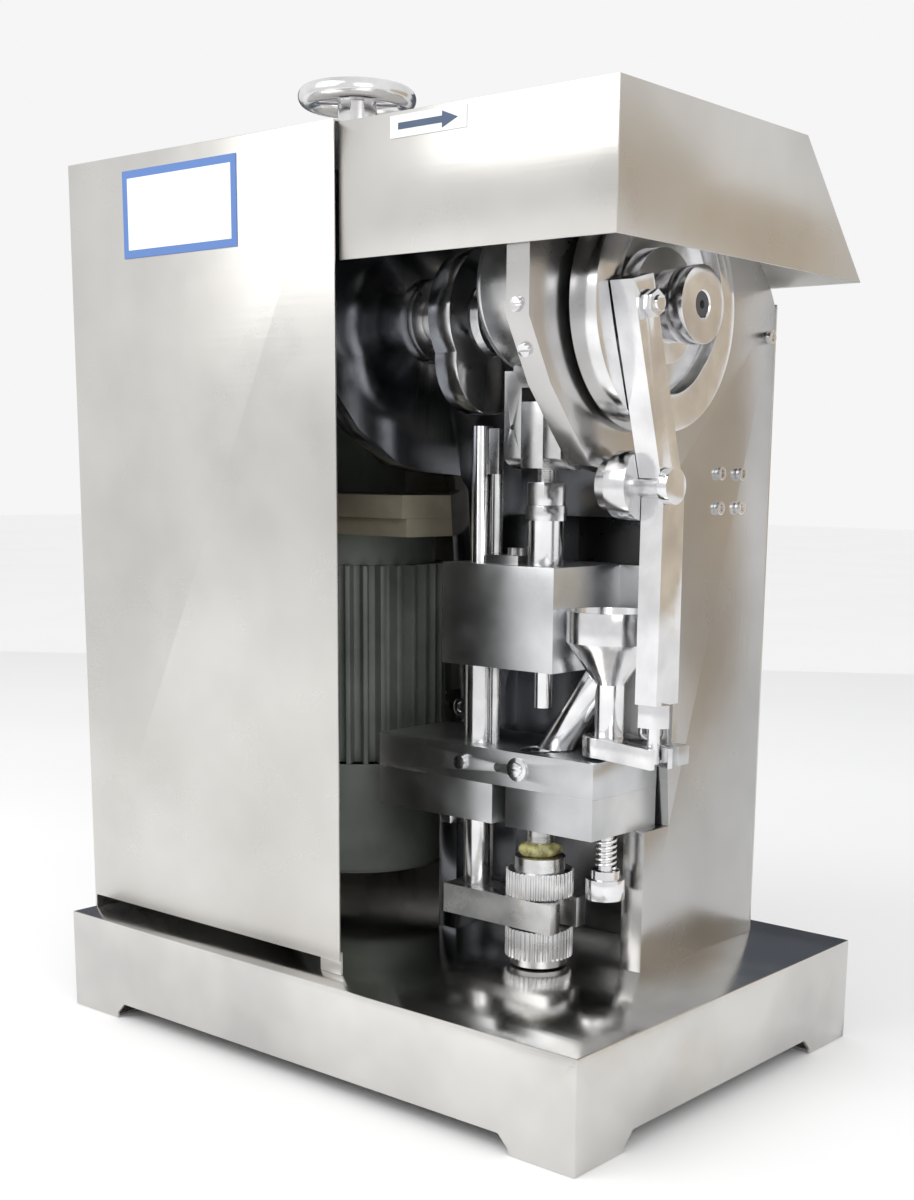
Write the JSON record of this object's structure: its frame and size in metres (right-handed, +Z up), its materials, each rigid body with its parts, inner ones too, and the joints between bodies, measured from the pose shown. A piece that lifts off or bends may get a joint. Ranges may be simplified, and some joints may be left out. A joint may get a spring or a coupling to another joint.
{
  "type": "single-punch tablet press",
  "caption": "Bench single-punch tablet press with a sheet-steel plinth, motor cover and hood, cam shaft, punch, die table and feed hopper.",
  "frame": {"origin": "centre of the plinth footprint on the floor", "axes": "+Z up, +X to the machine's right, the front faces -Y"},
  "size_m": [0.6, 0.41, 0.848],
  "materials": {
    "plinth_steel": "satin",
    "cover_steel": "satin",
    "dark_plate": "polished",
    "side_plate": "satin",
    "machined_steel": "satin",
    "bright_steel": "polished",
    "motor_paint": "satin",
    "khaki_plate": "satin",
    "dark_iron": "matte",
    "wheel_bronze": "satin",
    "white_plastic": "matte"
  },
  "bodies": {
    "frame": {"base_plinth": "plinth_steel", "left_plate": "dark_plate", "right_plate": "side_plate", "rear_tie_plate": "side_plate", "upper_tie_bar": "side_plate", "rear_cover": "cover_steel", "guide_block": "machined_steel", "guide_pin": "machined_steel", "table_upper": "machined_steel", "table_lower": "machined_steel", "die": "bright_steel", "table_screws": "bright_steel", "frame_screws": "bright_steel", "motor_cover": "cover_steel", "hood": "cover_steel", "label_plate": "white_plastic", "arrow_label": "white_plastic", "gearbox_shelf": "khaki_plate", "motor_plate": "khaki_plate", "gearbox_housing": "motor_paint", "motor_end_bell": "motor_paint", "motor_body": "motor_paint", "fan_cover": "motor_paint", "terminal_box": "motor_paint", "left_bearing": "machined_steel", "right_bearing": "machined_steel", "pivot_post": "bright_steel", "feed_bolt": "bright_steel", "feed_spring": "bright_steel", "stop_block": "machined_steel"},
    "main_shaft": {"main_shaft": "machined_steel", "worm_wheel": "wheel_bronze", "lift_cam": "bright_steel", "eccentric": "machined_steel", "feed_cam": "bright_steel", "end_cap": "bright_steel", "end_cap_screw": "dark_iron"},
    "drive_line": {"worm_shaft": "machined_steel", "rotor_fan": "dark_iron", "handwheel": "bright_steel"},
    "plunger": {"plunger": "bright_steel", "adjusting_tongue": "bright_steel", "lock_nut": "bright_steel", "upper_punch": "bright_steel", "wrist_pin": "machined_steel"},
    "conrod": {"conrod": "machined_steel", "strap_covers": "machined_steel"},
    "lift": {"lift_rod": "bright_steel", "lift_fork": "machined_steel", "punch_carrier": "machined_steel", "lower_punch": "bright_steel"},
    "upper_nut": {"upper_gear_nut": "machined_steel"},
    "lower_nut": {"lower_gear_nut": "machined_steel"},
    "feed_lever": {"feed_lever": "bright_steel", "roller_bolt": "bright_steel", "lever_stud": "bright_steel"},
    "roller": {"cam_roller": "machined_steel"},
    "feed_arm": {"feed_arm": "bright_steel", "hopper": "bright_steel"}
  },
  "joints": [
    {"name": "main_shaft_turn", "type": "hinge", "parent": "frame", "child": "main_shaft", "pos_m": [0, -0.0395, 0.6295], "axis": [1, 0, 0], "range_deg": [0, 180]},
    {"name": "drive_line_turn", "type": "hinge", "parent": "frame", "child": "drive_line", "pos_m": [-0.154, 0.035, 0.6], "axis": [0, 0, 1], "range_deg": [0, 4320]},
    {"name": "plunger_slide", "type": "slide", "parent": "frame", "child": "plunger", "axis": [0, 0, -1], "range_m": [0, 0.036]},
    {"name": "conrod_swing", "type": "hinge", "parent": "plunger", "child": "conrod", "pos_m": [0.133, -0.0395, 0.535], "axis": [1, 0, 0], "range_deg": [-1, 1]},
    {"name": "feed_lever_swing", "type": "hinge", "parent": "frame", "child": "feed_lever", "pos_m": [0.258, -0.067, 0.497], "axis": [1, 0, 0], "range_deg": [-3.8, 0]},
    {"name": "roller_turn", "type": "hinge", "parent": "feed_lever", "child": "roller", "pos_m": [0.24, -0.095, 0.626], "axis": [1, 0, 0], "continuous": true},
    {"name": "feed_arm_swing", "type": "hinge", "parent": "frame", "child": "feed_arm", "pos_m": [0.1985, -0.0353, 0.289], "axis": [0, 0, 1], "range_deg": [-10.71, 0]},
    {"name": "ejector_lift", "type": "slide", "parent": "frame", "child": "lift", "axis": [0, 0, 1], "range_m": [0, 0.008]},
    {"name": "upper_nut_turn", "type": "hinge", "parent": "lift", "child": "upper_nut", "pos_m": [0.133, -0.0395, 0.165], "axis": [0, 0, 1], "continuous": true},
    {"name": "lower_nut_turn", "type": "hinge", "parent": "lift", "child": "lower_nut", "pos_m": [0.133, -0.0395, 0.113], "axis": [0, 0, 1], "continuous": true}
  ],
  "couplings": [
    {"joint": "drive_line_turn", "follows": "main_shaft_turn", "ratio": 24},
    {"joint": "plunger_slide", "follows": "main_shaft_turn", "m_per_rad": 0.011459},
    {"joint": "feed_lever_swing", "follows": "main_shaft_turn", "ratio": -0.02111},
    {"joint": "feed_arm_swing", "follows": "main_shaft_turn", "ratio": -0.05944}
  ]
}
